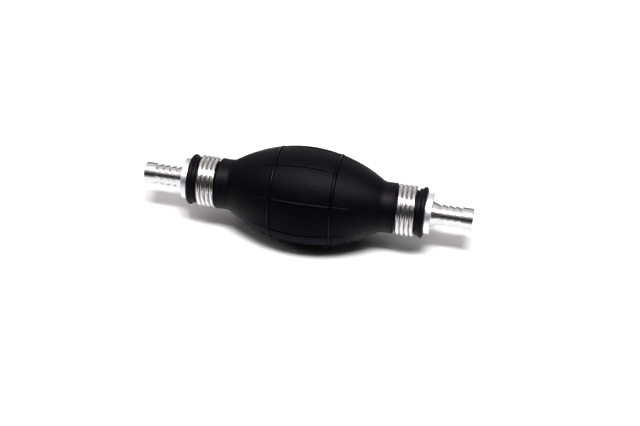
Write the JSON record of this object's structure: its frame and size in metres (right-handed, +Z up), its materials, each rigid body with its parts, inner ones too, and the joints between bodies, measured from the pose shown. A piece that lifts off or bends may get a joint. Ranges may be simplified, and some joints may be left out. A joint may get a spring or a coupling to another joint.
{
  "type": "siphon bulb pump",
  "caption": "Hand-squeezed rubber bulb with a barbed metal hose tail and a one-way valve at each end, for priming a fuel line.",
  "frame": {"origin": "middle of the bulb, on the flow axis", "axes": "+X along the flow from inlet to outlet, +Z up as the bulb lies on a bench"},
  "size_m": [0.1638, 0.0482, 0.0482],
  "materials": {
    "bulb_rubber": "satin black moulded rubber with a fine grain",
    "turned_aluminium": "bright turned aluminium with fine turning lines",
    "clamp_wire": "bright drawn wire",
    "seat_brass": "turned brass",
    "valve_acetal": "off-white moulded acetal",
    "seal_rubber": "dark brown fuel-proof rubber",
    "spring_wire": "stainless spring steel"
  },
  "bodies": {
    "root": {"bulb": "bulb_rubber", "inlet_fitting": "turned_aluminium", "inlet_clamp": "clamp_wire", "inlet_valve_seat": "seat_brass", "inlet_seat_o_ring": "seal_rubber", "inlet_valve_spring": "spring_wire", "inlet_valve_guide": "valve_acetal", "inlet_snap_ring": "spring_wire", "outlet_fitting": "turned_aluminium", "outlet_clamp": "clamp_wire", "outlet_valve_seat": "seat_brass", "outlet_seat_o_ring": "seal_rubber", "outlet_valve_spring": "spring_wire", "outlet_valve_guide": "valve_acetal", "outlet_snap_ring": "spring_wire"},
    "inlet_valve": {"inlet_poppet": "valve_acetal", "inlet_poppet_seal": "seal_rubber"},
    "outlet_valve": {"outlet_poppet": "valve_acetal", "outlet_poppet_seal": "seal_rubber"}
  },
  "joints": [
    {"name": "inlet_valve_lift", "type": "slide", "parent": "root", "child": "inlet_valve", "axis": [1, 0, 0], "range_m": [0, 0.0025], "stiffness_N_per_m": 50, "springref_m": -0.002, "deforming": ["inlet_valve_spring"]},
    {"name": "outlet_valve_lift", "type": "slide", "parent": "root", "child": "outlet_valve", "axis": [1, 0, 0], "range_m": [0, 0.0025], "stiffness_N_per_m": 50, "springref_m": -0.002, "deforming": ["outlet_valve_spring"]}
  ]
}
